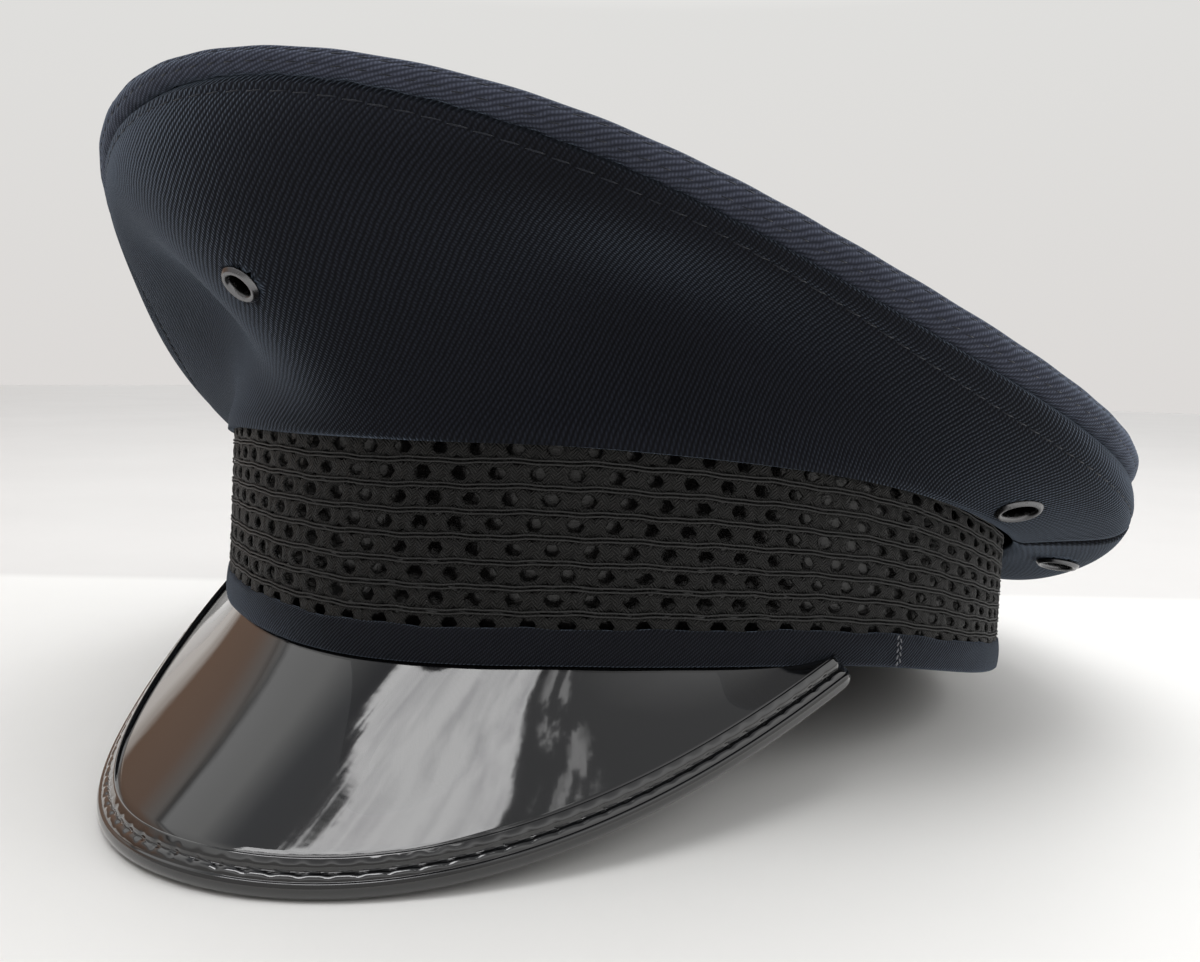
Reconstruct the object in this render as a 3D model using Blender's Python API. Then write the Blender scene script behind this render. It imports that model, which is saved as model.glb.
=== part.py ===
"""Peaked uniform cap: a round, high-fronted crown over a woven band, with a glossy peak.

Front is -Y, the wearer's left is +X. The cap is drawn level, with the rear of its band at
height 0, and an empty then tilts it back onto the table, where it lies on its visor and on
the rear of its base strip.
"""

import math

import bmesh
import bpy
from mathutils import Matrix, Vector

MM = 0.001

# Band: the oval wall that goes round the head
BAND_FRONT_REACH = 101.6 * MM
BAND_REAR_REACH = 102.4 * MM
BAND_HALF_WIDTH = 91.1 * MM
BAND_HEIGHT = 38.0 * MM
BAND_LEAN = 0.08  # how far the wall leans forward for each unit of height
BAND_CORNER = 0.04  # how much the oval is slimmer at its four corners
BASE_ARCH = 3.3 * MM

# Crown: the rim is the seam between the top panel and the panels below it
RIM_FRONT_REACH = 140.8 * MM
RIM_REAR_REACH = 134.0 * MM
RIM_HALF_WIDTH = 115.3 * MM
RIM_CORNER = 0.086
RIM_FRONT_HEIGHT = 85.0 * MM
RIM_SIDE_HEIGHT = 42.7 * MM
RIM_REAR_HEIGHT = 31.0 * MM
RIM_SNAP = 0.07  # share of the front rise that is gathered close to the front
ROLL_HEIGHT = 6.0 * MM  # where the rolled edge is highest
ROLL_OVERHANG = 1.6 * MM
ROLL_RETURN = 4.6 * MM  # how far in the roll meets the dome
DOME_HEIGHT = 5.0 * MM
SIDE_SEAM_ANGLE = 95.0

# Walls and clearances
CLOTH = 1.6 * MM
TOP_PANEL = 1.4 * MM
CANE = 1.5 * MM
STRIP = 2.0 * MM
STRIP_PROUD = 0.4 * MM  # how far the strip stands out from the band's face
STRIP_SOFT = 0.7 * MM  # the cut across its outer edges
LEATHER = 1.4 * MM
VISOR_SHEET = 1.6 * MM
CLEARANCE = 0.35 * MM
HEM_STEP = 0.9 * MM  # how far the crown's hem stands off the band
HEM_LAP = 3.0 * MM  # how far the band runs up behind the hem

# Base strip and sweatband
STRIP_HEIGHT = 6.2 * MM
SWEATBAND_RISE = 1.5 * MM
SWEATBAND_DEPTH = STRIP - STRIP_PROUD + VISOR_SHEET + 2 * CLEARANCE  # clear of the visor's flange

# Woven band: rows of six-sided holes
HOLE_ROWS = 4
HOLES_ROUND = 26
HOLE_WIDTH_SHARE = 0.56
HOLE_HEIGHT_SHARE = 0.60

# Visor
VISOR_CORNER_ANGLE = 58.0
VISOR_REACH = 30.9 * MM  # from the front of the band to the binding's inner line
VISOR_DROP = 26.1 * MM
VISOR_CORNER_RISE = 7.2 * MM  # where the line would end if it ran on behind the strip
VISOR_END_TURN = 74.0
VISOR_BOW = 1.79
VISOR_DISH = 3.1
VISOR_APEX_HEIGHT = 115.0 * MM
VISOR_FLANGE = 3.0 * MM
VISOR_BULGE = 0.045  # share of the sheet's width at each place
BINDING_WIDTH = 5.6 * MM
BINDING_SKIN = 0.9 * MM
BEAD_RADIUS = 1.9 * MM

# Eyelets
BADGE_EYELET_RADIUS = 3.6 * MM
VENT_EYELET_RADIUS = 4.8 * MM
BADGE_EYELET_BORE = 0.50  # the hole's share of the eyelet's radius
VENT_EYELET_BORE = 0.62
EYELET_TUBE = 0.5 * MM
EYELET_LIP = 0.55 * MM
EYELET_STANDOFF = 0.8 * MM

# Mesh steps
ROUND_STEPS = 49
SECTION_STEPS = 7
VISOR_STEPS = 29
VISOR_ROWS = 5
EYELET_STEPS = 12

# Search for the tilt at which the cap rests on the table
MOST_TILT = math.radians(45)
TILT_STEPS = 30

# Sections round the cap, every 30 degrees from the front to the rear. Heights are shares of
# BAND_HEIGHT, BASE_ARCH and ROLL_HEIGHT, handles are shares of the crown's overhang and rise.
SECTION_COLUMNS = ("hem", "arch", "root_out", "root_up", "rim_out", "rim_down", "roll")
SECTIONS = (
    (0.95, -0.30, 0.10, 0.30, 1.22, 0.54, 0.56),
    (1.00, 0.50, -0.24, 0.60, 1.14, 0.34, 0.78),
    (0.96, 1.00, 0.05, 0.40, 0.90, 0.00, 1.00),
    (0.75, 0.00, 0.77, 0.31, 1.20, 0.90, 0.80),
    (0.62, 0.00, 0.80, -0.75, 1.24, 1.68, 0.78),
    (0.60, 0.00, 0.60, -0.75, 1.14, 1.60, 0.78),
    (0.60, 0.00, 0.60, -0.75, 1.14, 1.60, 0.78),
)

# Eyelets: angle from the front, share of the way from the hem to the rim, kind
EYELETS = {
    "badge_eyelet": (0.0, 0.55, "badge"),
    "vent_eyelet_left_front": (80.0, 0.18, "vent"),
    "vent_eyelet_left_rear": (105.0, 0.25, "vent"),
    "vent_eyelet_right_front": (-80.0, 0.18, "vent"),
    "vent_eyelet_right_rear": (-105.0, 0.25, "vent"),
}

MATERIALS = {
    "navy_twill": ((0.010, 0.012, 0.022), 0.85, 0.0),
    "navy_strip": ((0.009, 0.010, 0.018), 0.80, 0.0),
    "black_cane": ((0.008, 0.008, 0.009), 0.45, 0.0),
    "black_leather": ((0.010, 0.009, 0.009), 0.25, 0.0),
    "black_patent": ((0.004, 0.004, 0.004), 0.06, 0.0),
    "gunmetal": ((0.10, 0.10, 0.11), 0.30, 1.0),
}


def material(name):
    found = bpy.data.materials.get(name)
    if found:
        return found
    colour, roughness, metallic = MATERIALS[name]
    made = bpy.data.materials.new(name)
    made.use_nodes = True
    shader = made.node_tree.nodes["Principled BSDF"]
    shader.inputs["Base Color"].default_value = (*colour, 1.0)
    shader.inputs["Roughness"].default_value = roughness
    shader.inputs["Metallic"].default_value = metallic
    return made


def add_object(name, mesh, material_name):
    mesh.materials.append(material(material_name))
    mesh.shade_smooth()
    mesh.set_sharp_from_angle(angle=math.radians(40))
    made = bpy.data.objects.new(name, mesh)
    bpy.context.collection.objects.link(made)
    return made


def section_value(column, angle):
    """A column of SECTIONS at an angle in radians, by a smooth curve through its rows."""
    place = abs(math.remainder(angle, 2 * math.pi)) / math.radians(180) * (len(SECTIONS) - 1)
    k = min(int(place), len(SECTIONS) - 2)
    share = place - k
    index = SECTION_COLUMNS.index(column)
    last = len(SECTIONS) - 1
    rows = (abs(k - 1), k, k + 1, last - abs(last - (k + 2)))
    a, b, c, d = (SECTIONS[row][index] for row in rows)
    slope_b = (c - a) / 2
    slope_c = (d - b) / 2
    return (
        (2 * share**3 - 3 * share**2 + 1) * b
        + (share**3 - 2 * share**2 + share) * slope_b
        + (3 * share**2 - 2 * share**3) * c
        + (share**3 - share**2) * slope_c
    )


def oval(angle, front, rear, half_width, corner):
    """A point of an oval that reaches front and rear of the origin, slimmer at its corners."""
    middle = (rear - front) / 2
    half_length = (rear + front) / 2
    slim = 1 - corner * (1 - math.cos(4 * angle)) / 2
    return Vector((
        half_width * math.sin(angle) * slim,
        middle - half_length * math.cos(angle) * slim,
        0.0,
    ))


def band_outward(angle):
    """The band's level outward direction at an angle."""
    step = math.radians(0.5)
    sizes = (BAND_FRONT_REACH, BAND_REAR_REACH, BAND_HALF_WIDTH, BAND_CORNER)
    along = oval(angle + step, *sizes) - oval(angle - step, *sizes)
    return Vector((along.y, -along.x, 0.0)).normalized()


def band_point(angle, height, inset=0.0):
    """A point of the band's wall, inset from its outer face."""
    point = oval(angle, BAND_FRONT_REACH, BAND_REAR_REACH, BAND_HALF_WIDTH, BAND_CORNER)
    point -= band_outward(angle) * inset
    point.y -= BAND_LEAN * height
    point.z = height
    return point


def base_height(angle):
    return BASE_ARCH * section_value("arch", angle)


def hem_height(angle):
    return BAND_HEIGHT * section_value("hem", angle)


def rim_point(angle):
    """The seam between the crown's side panels and its top panel."""
    lift = (RIM_FRONT_HEIGHT + RIM_REAR_HEIGHT) / 4
    fall = (RIM_FRONT_HEIGHT - RIM_REAR_HEIGHT) / 2
    point = oval(angle, RIM_FRONT_REACH, RIM_REAR_REACH, RIM_HALF_WIDTH, RIM_CORNER)
    point.z = (
        lift + RIM_SIDE_HEIGHT / 2
        + fall * (1 - RIM_SNAP) * math.cos(angle)
        + (lift - RIM_SIDE_HEIGHT / 2) * math.cos(2 * angle)
        + fall * RIM_SNAP * math.cos(3 * angle)
    )
    return point


def crown_frame(angle):
    """Where the crown's section starts, its level direction, its overhang and its rise."""
    root = band_point(angle, hem_height(angle), -(HEM_STEP + CLOTH))
    rim = rim_point(angle)
    out = Vector((rim.x - root.x, rim.y - root.y, 0.0))
    return root, out.normalized(), out.length, rim.z - CLEARANCE - root.z


def crown_section(angle):
    """The outer face's curve at an angle, as (out, up) from the hem to the rim."""
    _, _, overhang, rise = crown_frame(angle)
    ends = (
        Vector((0.0, 0.0)),
        Vector((section_value("root_out", angle) * overhang, section_value("root_up", angle) * rise)),
        Vector((
            section_value("rim_out", angle) * overhang,
            (1 - section_value("rim_down", angle)) * rise,
        )),
        Vector((overhang, rise)),
    )
    return ends


def bezier(ends, share):
    a, b, c, d = ends
    rest = 1 - share
    return a * rest**3 + b * 3 * rest**2 * share + c * 3 * rest * share**2 + d * share**3


def bezier_direction(ends, share):
    a, b, c, d = ends
    rest = 1 - share
    slope = (b - a) * 3 * rest**2 + (c - b) * 6 * rest * share + (d - c) * 3 * share**2
    return slope.normalized()


def crown_point(angle, share, depth=0.0):
    """A point of the side panels, depth inside their outer face."""
    root, out, _, _ = crown_frame(angle)
    ends = crown_section(angle)
    flat = bezier(ends, share)
    direction = bezier_direction(ends, share)
    inward = Vector((-direction.y, direction.x))
    flat = flat + inward * depth
    return root + out * flat.x + Vector((0.0, 0.0, flat.y))


def crown_normal(angle, share):
    """The side panels' outward normal."""
    step = 0.01
    along = crown_point(angle + step, share) - crown_point(angle - step, share)
    up = crown_point(angle, share + step) - crown_point(angle, share - step)
    return along.cross(up).normalized()


def sweep(name, material_name, rings, closed):
    """A solid through section rings of equal length: a loop, or a stretch with two caps."""
    shape = bmesh.new()
    rows = [[shape.verts.new(point) for point in ring] for ring in rings]
    pairs = list(zip(rows, rows[1:]))
    if closed:
        pairs.append((rows[-1], rows[0]))
    else:
        shape.faces.new(rows[0])
        shape.faces.new(rows[-1])
    for here, after in pairs:
        for k in range(len(here)):
            following = (k + 1) % len(here)
            shape.faces.new((here[k], here[following], after[following], after[k]))
    bmesh.ops.recalc_face_normals(shape, faces=shape.faces)
    mesh = bpy.data.meshes.new(name)
    shape.to_mesh(mesh)
    shape.free()
    return add_object(name, mesh, material_name)


def round_angles():
    return [2 * math.pi * k / ROUND_STEPS for k in range(ROUND_STEPS)]


def make_panel(name, start, end):
    """One crown panel, from a side seam round the front or the rear to the other seam."""
    steps = max(4, round(ROUND_STEPS * (end - start) / (2 * math.pi)))
    steps += 1 - steps % 2
    shares = [k / SECTION_STEPS for k in range(SECTION_STEPS + 1)]
    rings = []
    for k in range(steps + 1):
        angle = start + (end - start) * k / steps
        outer = [crown_point(angle, share) for share in shares]
        inner = [crown_point(angle, share, CLOTH) for share in reversed(shares)]
        rings.append(outer + inner)
    return sweep(name, "navy_twill", rings, closed=False)


def make_crown_panels():
    seam = math.radians(SIDE_SEAM_ANGLE)
    half_gap = CLEARANCE / 2 / RIM_HALF_WIDTH
    front = make_panel("crown_front", half_gap - seam, seam - half_gap)
    rear = make_panel("crown_rear", seam + half_gap, 2 * math.pi - seam - half_gap)
    return front, rear


def roll_height(angle):
    return ROLL_HEIGHT * section_value("roll", angle)


def roll_outline(angle, depth):
    """The rolled edge of the top panel, as (out, up) from the seam."""
    over = ROLL_OVERHANG - depth
    middle = roll_height(angle) / 2
    reach = middle - depth
    points = []
    for degrees in (-50, -15, 20, 55):
        turn = math.radians(degrees)
        points.append((over - reach + reach * math.cos(turn), middle + reach * math.sin(turn)))
    points.append((over - ROLL_RETURN, middle + reach))
    return points


def dome_point(angle, share, lift):
    """A point of the top panel, with share 1 over the rim and 0 in the middle."""
    front = rim_point(0.0)
    rear = rim_point(math.pi)
    side = rim_point(math.pi / 2)
    rim = rim_point(angle)
    middle = Vector((0.0, (front.y + rear.y) / 2, 0.0))
    quarter = (front.z + rear.z) / 4
    fall = (front.z - rear.z) / 2
    point = middle + (Vector((rim.x, rim.y, 0.0)) - middle) * share
    point.z = (
        quarter + side.z / 2
        + fall * (1 - RIM_SNAP) * share * math.cos(angle)
        + (quarter - side.z / 2) * share**2 * math.cos(2 * angle)
        + fall * RIM_SNAP * share**3 * math.cos(3 * angle)
        + lift + DOME_HEIGHT * (1 - share**2)
    )
    return point


def make_crown_top():
    """A domed panel with a rolled edge, hollow below."""
    name = "crown_top"
    shape = bmesh.new()
    middle = Vector((0.0, (RIM_REAR_REACH - RIM_FRONT_REACH) / 2, 0.0))
    dome_shares = (0.92, 0.66, 0.34)

    def rows(depth):
        made = []
        for k in range(len(roll_outline(0.0, depth))):
            ring = []
            for angle in round_angles():
                out, up = roll_outline(angle, depth)[k]
                rim = rim_point(angle)
                outward = Vector((rim.x, rim.y, 0.0)) - middle
                ring.append(shape.verts.new(rim + outward.normalized() * out + Vector((0.0, 0.0, up))))
            made.append(ring)
        for share in dome_shares:
            ring = []
            for angle in round_angles():
                edge = roll_height(angle) * share**2 + ROLL_HEIGHT * (1 - share**2)
                ring.append(shape.verts.new(dome_point(angle, share, edge - depth)))
            made.append(ring)
        centre = shape.verts.new(dome_point(0.0, 0.0, ROLL_HEIGHT - depth))
        return made, centre

    outer, outer_centre = rows(0.0)
    inner, inner_centre = rows(TOP_PANEL)
    count = ROUND_STEPS
    for skin, centre in ((outer, outer_centre), (inner, inner_centre)):
        for here, after in zip(skin, skin[1:]):
            for k in range(count):
                following = (k + 1) % count
                shape.faces.new((here[k], here[following], after[following], after[k]))
        for k in range(count):
            shape.faces.new((skin[-1][k], skin[-1][(k + 1) % count], centre))
    for k in range(count):
        following = (k + 1) % count
        shape.faces.new((outer[0][k], outer[0][following], inner[0][following], inner[0][k]))
    bmesh.ops.recalc_face_normals(shape, faces=shape.faces)
    mesh = bpy.data.meshes.new(name)
    shape.to_mesh(mesh)
    shape.free()
    return add_object(name, mesh, "navy_twill")


def cane_levels(angle):
    """The lowest and highest level of the woven band at an angle."""
    low = base_height(angle) + STRIP_HEIGHT + CLEARANCE
    return low, hem_height(angle) + HEM_LAP


def make_mesh_band():
    """A wall with staggered six-sided holes, each cell made of quads round its hole."""
    name = "mesh_band"
    shape = bmesh.new()
    halves = 2 * HOLES_ROUND
    levels = 2 * HOLE_ROWS

    def vertex(column, level, inset):
        """Column counts half cells round the band, level half rows up from the hidden edge."""
        angle = 2 * math.pi * column / halves
        low, high = cane_levels(angle)
        margin = (high - low) * 0.08
        share = level / levels
        height = low + margin + (high - low - 2 * margin) * share
        return shape.verts.new(band_point(angle, height, inset))

    def edge_vertex(column, top, inset):
        angle = 2 * math.pi * column / halves
        return shape.verts.new(band_point(angle, cane_levels(angle)[top], inset))

    skins = []
    for inset in (0.0, CANE):
        lines = [[vertex(c, 2 * row, inset) for c in range(halves)] for row in range(HOLE_ROWS + 1)]
        edges = [[edge_vertex(c, top, inset) for c in range(halves)] for top in (0, 1)]
        holes = {}
        for row in range(HOLE_ROWS):
            for k in range(HOLES_ROUND):
                middle = 2 * k + 1 + row % 2
                level = 2 * row + 1
                wide = HOLE_WIDTH_SHARE
                high = HOLE_HEIGHT_SHARE
                around = ((0, -high), (wide, -high / 2), (wide, high / 2),
                          (0, high), (-wide, high / 2), (-wide, -high / 2))
                holes[row, k] = [vertex(middle + x, level + y, inset) for x, y in around]
        skins.append((lines, edges, holes))
    for lines, edges, holes in skins:
        for (row, k), hole in holes.items():
            middle = 2 * k + 1 + row % 2
            left, centre, right = ((middle + x) % halves for x in (-1, 0, 1))
            low, high = lines[row], lines[row + 1]
            bottom, low_right, high_right, top, high_left, low_left = hole
            shape.faces.new((low[left], low[centre], bottom, low_left))
            shape.faces.new((low[centre], low[right], low_right, bottom))
            shape.faces.new((low[right], high[right], high_right, low_right))
            shape.faces.new((high[right], high[centre], top, high_right))
            shape.faces.new((high[centre], high[left], high_left, top))
            shape.faces.new((high[left], low[left], low_left, high_left))
        for line, edge in ((lines[0], edges[0]), (lines[-1], edges[1])):
            for c in range(halves):
                after = (c + 1) % halves
                shape.faces.new((line[c], line[after], edge[after], edge[c]))
    (_, outer_edges, outer_holes), (_, inner_edges, inner_holes) = skins
    for key, outer in outer_holes.items():
        inner = inner_holes[key]
        for k in range(6):
            after = (k + 1) % 6
            shape.faces.new((outer[k], outer[after], inner[after], inner[k]))
    for outer, inner in zip(outer_edges, inner_edges):
        for c in range(halves):
            after = (c + 1) % halves
            shape.faces.new((outer[c], outer[after], inner[after], inner[c]))
    bmesh.ops.recalc_face_normals(shape, faces=shape.faces)
    mesh = bpy.data.meshes.new(name)
    shape.to_mesh(mesh)
    shape.free()
    return add_object(name, mesh, "black_cane")


def make_base_strip():
    """The cloth strip round the band's foot, with a soft outer edge."""
    rings = []
    for angle in round_angles():
        low = base_height(angle)
        high = low + STRIP_HEIGHT
        rings.append([
            band_point(angle, low, STRIP - STRIP_PROUD),
            band_point(angle, low, STRIP_SOFT - STRIP_PROUD),
            band_point(angle, low + STRIP_SOFT, -STRIP_PROUD),
            band_point(angle, high - STRIP_SOFT, -STRIP_PROUD),
            band_point(angle, high, STRIP_SOFT - STRIP_PROUD),
            band_point(angle, high, STRIP - STRIP_PROUD),
        ])
    return sweep("base_strip", "navy_strip", rings, closed=True)


def make_sweatband():
    """The smooth liner behind the woven band and the strip."""
    rings = []
    for angle in round_angles():
        low = base_height(angle) + SWEATBAND_RISE
        high = hem_height(angle) + HEM_LAP
        near = SWEATBAND_DEPTH
        far = SWEATBAND_DEPTH + LEATHER
        rings.append([
            band_point(angle, low, far),
            band_point(angle, low, near),
            band_point(angle, high, near),
            band_point(angle, high, far),
        ])
    return sweep("sweatband", "black_leather", rings, closed=True)


def visor_line(turn):
    """The binding's inner line, for a turn from -90 to 90 degrees across the cap."""
    corner = band_point(math.radians(VISOR_CORNER_ANGLE), 0.0)
    reach = VISOR_REACH + BAND_FRONT_REACH + corner.y
    across = math.sin(turn)
    return Vector((
        corner.x * across,
        corner.y - reach * max(math.cos(turn), 0.0) ** VISOR_BOW,
        -VISOR_DROP + (VISOR_DROP + VISOR_CORNER_RISE) * abs(across) ** VISOR_DISH,
    ))


def visor_root(turn, height):
    """Where the visor's flange stands, just inside the base strip."""
    angle = turn / math.radians(90) * math.radians(VISOR_CORNER_ANGLE)
    inset = STRIP - STRIP_PROUD + CLEARANCE
    return band_point(angle, base_height(angle) + height, inset)


def visor_outward(turn):
    """The direction across the binding, level with the visor's sheet, and the sheet's normal."""
    step = 0.02
    along = visor_line(min(turn + step, math.pi / 2)) - visor_line(max(turn - step, -math.pi / 2))
    along.normalize()
    corner = band_point(math.radians(VISOR_CORNER_ANGLE), 0.0)
    apex = Vector((0.0, corner.y, VISOR_APEX_HEIGHT))
    away = visor_line(turn) - apex
    outward = (away - along * away.dot(along)).normalized()
    return outward, along.cross(outward).normalized()


def visor_turns():
    limit = math.radians(VISOR_END_TURN)
    return [-limit + 2 * limit * k / VISOR_STEPS for k in range(VISOR_STEPS + 1)]


def make_visor():
    """The sheet from its flange inside the strip, down and out into the binding."""
    rings = []
    for turn in visor_turns():
        outward, normal = visor_outward(turn)
        if normal.z < 0:
            normal.negate()
        flange = visor_root(turn, VISOR_FLANGE)
        bend = visor_root(turn, -VISOR_SHEET)
        line = visor_line(turn)
        edge = line + outward * (BINDING_WIDTH - BEAD_RADIUS - CLEARANCE)
        top = [flange, bend]
        for row in range(1, VISOR_ROWS):
            share = row / VISOR_ROWS
            bulge = VISOR_BULGE * (line - bend).length * math.sin(math.pi * share)
            top.append(bend.lerp(line, share) + normal * bulge)
        top += [line, edge]
        inward = -band_outward(turn / math.radians(90) * math.radians(VISOR_CORNER_ANGLE))
        drop = Vector((0.0, 0.0, VISOR_SHEET / 2))
        below = [flange + inward * VISOR_SHEET, bend + inward * VISOR_SHEET - drop]
        below += [point - normal * VISOR_SHEET for point in top[2:]]
        rings.append(top + below[::-1])
    return sweep("visor", "black_patent", rings, closed=False)


def make_visor_binding():
    """The rolled binding that grips the visor's edge above, round and below it."""
    rings = []
    gap = CLEARANCE
    sheet = VISOR_SHEET
    for turn in visor_turns():
        outward, normal = visor_outward(turn)
        if normal.z < 0:
            normal.negate()
        line = visor_line(turn)

        def at(across, up):
            return line + outward * across + normal * up

        bead = BINDING_WIDTH - BEAD_RADIUS
        middle = -sheet / 2
        outline = [at(0.0, gap), at(0.4 * gap, gap + BINDING_SKIN), at(bead * 0.8, gap + BINDING_SKIN)]
        for degrees in (75, 35, 0, -35, -75):
            angle = math.radians(degrees)
            outline.append(at(bead + BEAD_RADIUS * math.cos(angle), middle + BEAD_RADIUS * math.sin(angle)))
        under = -sheet - gap
        outline += [at(bead * 0.8, under - BINDING_SKIN), at(0.4 * gap, under - BINDING_SKIN), at(0.0, under)]
        outline += [at(bead, under), at(bead, gap)]
        rings.append(outline)
    return sweep("visor_binding", "black_patent", rings, closed=False)


def eyelet_place(angle_degrees, share):
    """A matrix with its origin on the cloth and Z along its outward normal."""
    angle = math.radians(angle_degrees)
    normal = crown_normal(angle, share)
    return Matrix.Translation(crown_point(angle, share)) @ normal.to_track_quat("Z", "Y").to_matrix().to_4x4()


def make_eyelet(name, place, radius, bore):
    """A flanged tube through the cloth with a lip inside, turned round its axis."""
    hole = radius * bore
    tube = hole + EYELET_TUBE
    foot = -CLOTH - EYELET_STANDOFF
    outline = (
        (hole, foot - EYELET_LIP * 0.6),
        (hole, EYELET_STANDOFF * 0.4),
        (hole + EYELET_TUBE * 0.6, EYELET_STANDOFF + EYELET_LIP),
        ((tube + radius) / 2, EYELET_STANDOFF + EYELET_LIP),
        (radius, EYELET_STANDOFF + EYELET_LIP * 0.3),
        (radius, EYELET_STANDOFF),
        (tube, EYELET_STANDOFF),
        (tube, foot),
        (radius * 0.9, foot),
        (radius * 0.9, foot - EYELET_LIP * 0.6),
    )
    rings = []
    for k in range(EYELET_STEPS):
        turn = Matrix.Rotation(2 * math.pi * k / EYELET_STEPS, 4, "Z")
        rings.append([turn @ Vector((out, 0.0, up)) for out, up in outline])
    made = sweep(name, "gunmetal", rings, closed=True)
    made.matrix_world = place
    return made


def cut_hole(panel, name, place, radius):
    """A round hole through a panel, wide enough for an eyelet's tube."""
    shape = bmesh.new()
    bmesh.ops.create_cone(
        shape, cap_ends=True, segments=EYELET_STEPS,
        radius1=radius, radius2=radius, depth=CLOTH * 6,
    )
    mesh = bpy.data.meshes.new(name + "_cutter")
    shape.to_mesh(mesh)
    shape.free()
    cutter = bpy.data.objects.new(name + "_cutter", mesh)
    bpy.context.collection.objects.link(cutter)
    cutter.matrix_world = place
    cutter.hide_render = True
    cutter.display_type = "WIRE"
    cut = panel.modifiers.new(name, "BOOLEAN")
    cut.operation = "DIFFERENCE"
    cut.solver = "EXACT"
    cut.object = cutter
    return cutter


def make_eyelets(front, rear):
    made = []
    for name, (angle, share, kind) in EYELETS.items():
        radius = BADGE_EYELET_RADIUS if kind == "badge" else VENT_EYELET_RADIUS
        bore = BADGE_EYELET_BORE if kind == "badge" else VENT_EYELET_BORE
        place = eyelet_place(angle, share)
        panel = front if abs(angle) < SIDE_SEAM_ANGLE else rear
        made.append(make_eyelet(name, place, radius, bore))
        made.append(cut_hole(panel, name, place, radius * bore + EYELET_TUBE + CLEARANCE))
    return made


def solid_corners(pieces):
    corners = []
    for piece in pieces:
        if piece.type == "MESH" and not piece.hide_render:
            corners += [piece.matrix_world @ vertex.co for vertex in piece.data.vertices]
    return corners


def lowest(corners, tilt):
    """The lowest height of the corners once they are tilted back."""
    return min(corner.z * math.cos(tilt) - corner.y * math.sin(tilt) for corner in corners)


def rest_on_table(pieces):
    """Tilts the cap back until its visor and the rear of its strip lie on the table together."""
    bpy.context.view_layer.update()
    corners = solid_corners(pieces)
    front = [corner for corner in corners if corner.y < 0]
    rear = [corner for corner in corners if corner.y >= 0]
    least, most = 0.0, MOST_TILT
    for _ in range(TILT_STEPS):
        tilt = (least + most) / 2
        if lowest(front, tilt) < lowest(rear, tilt):
            least = tilt
        else:
            most = tilt
    holder = bpy.data.objects.new("rest_tilt", None)
    bpy.context.collection.objects.link(holder)
    holder.rotation_euler.x = -tilt
    for piece in pieces:
        piece.parent = holder
    bpy.context.view_layer.update()
    corners = solid_corners(pieces)
    low = Vector(min(corner[axis] for corner in corners) for axis in range(3))
    high = Vector(max(corner[axis] for corner in corners) for axis in range(3))
    holder.location = (-(low.x + high.x) / 2, -(low.y + high.y) / 2, -low.z)
    bpy.context.view_layer.update()


def main():
    for old in list(bpy.data.objects):
        bpy.data.objects.remove(old)
    front, rear = make_crown_panels()
    pieces = [front, rear, make_crown_top(), make_mesh_band(), make_base_strip(), make_sweatband()]
    pieces += [make_visor(), make_visor_binding()]
    pieces += make_eyelets(front, rear)
    rest_on_table(pieces)


main()
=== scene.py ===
import math
import random
from functools import lru_cache

import bmesh
import bpy
from mathutils import Matrix, Vector, noise

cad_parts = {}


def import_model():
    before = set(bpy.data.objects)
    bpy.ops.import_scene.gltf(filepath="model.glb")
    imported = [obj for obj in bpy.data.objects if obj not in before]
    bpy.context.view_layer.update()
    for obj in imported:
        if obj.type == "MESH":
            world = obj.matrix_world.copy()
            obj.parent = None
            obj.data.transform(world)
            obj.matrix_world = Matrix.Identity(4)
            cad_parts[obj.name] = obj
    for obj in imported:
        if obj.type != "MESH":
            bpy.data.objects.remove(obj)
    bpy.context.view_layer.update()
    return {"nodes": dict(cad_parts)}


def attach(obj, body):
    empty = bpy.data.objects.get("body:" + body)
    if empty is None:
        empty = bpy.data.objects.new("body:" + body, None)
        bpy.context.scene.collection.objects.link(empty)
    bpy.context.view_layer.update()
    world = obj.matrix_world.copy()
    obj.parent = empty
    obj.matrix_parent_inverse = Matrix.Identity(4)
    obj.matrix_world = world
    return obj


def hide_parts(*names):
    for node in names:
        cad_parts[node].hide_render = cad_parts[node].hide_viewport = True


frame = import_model()
random.seed(11)
mm = 0.001
turnAll = 2 * math.pi
print("frame loaded:", len(frame["nodes"]), "solids")

# Everything is shaped on a level cap, then leaned back onto the table with this turn
restTurn = Matrix.Translation((0.0, -0.000135, 0.013642)) @ Matrix.Rotation(math.radians(-7.69946), 4, "X")

cameraSettings = {
    "place": (0.1286, -0.24307, 0.07565),
    "right": (0.874928, 0.483801, 0.020916),
    "up": (-0.065927, 0.076211, 0.99491),
    "back": (0.479744, -0.871853, 0.098575),
    "lens": 33.0,
}


def makeCamera(settings):
    lens = bpy.data.cameras.new("photoCamera")
    lens.lens = settings["lens"]
    lens.sensor_width = 36.0
    lens.clip_start = 0.01
    camera = bpy.data.objects.new("photoCamera", lens)
    bpy.context.scene.collection.objects.link(camera)
    columns = (settings["right"], settings["up"], settings["back"], settings["place"])
    camera.matrix_world = Matrix([[column[row] for column in columns] for row in range(3)] + [[0, 0, 0, 1]])
    bpy.context.scene.camera = camera


makeCamera(cameraSettings)

capShape = {
    "bandFront": 101.6, "bandRear": 102.4, "bandHalf": 91.1, "bandCorner": 0.04,
    "bandHeight": 38.0, "bandLean": 0.08, "baseArch": 3.3,
    "rimFront": 140.8, "rimRear": 134.0, "rimHalf": 115.3, "rimCorner": 0.086,
    "rimFrontHeight": 85.0, "rimSideHeight": 42.7, "rimRearHeight": 31.0, "rimSnap": 0.07,
    "hemStandOff": 2.2, "sideSeam": 95.0, "rimLift": 1.3, "rimMiddle": -3.4,
}
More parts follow.
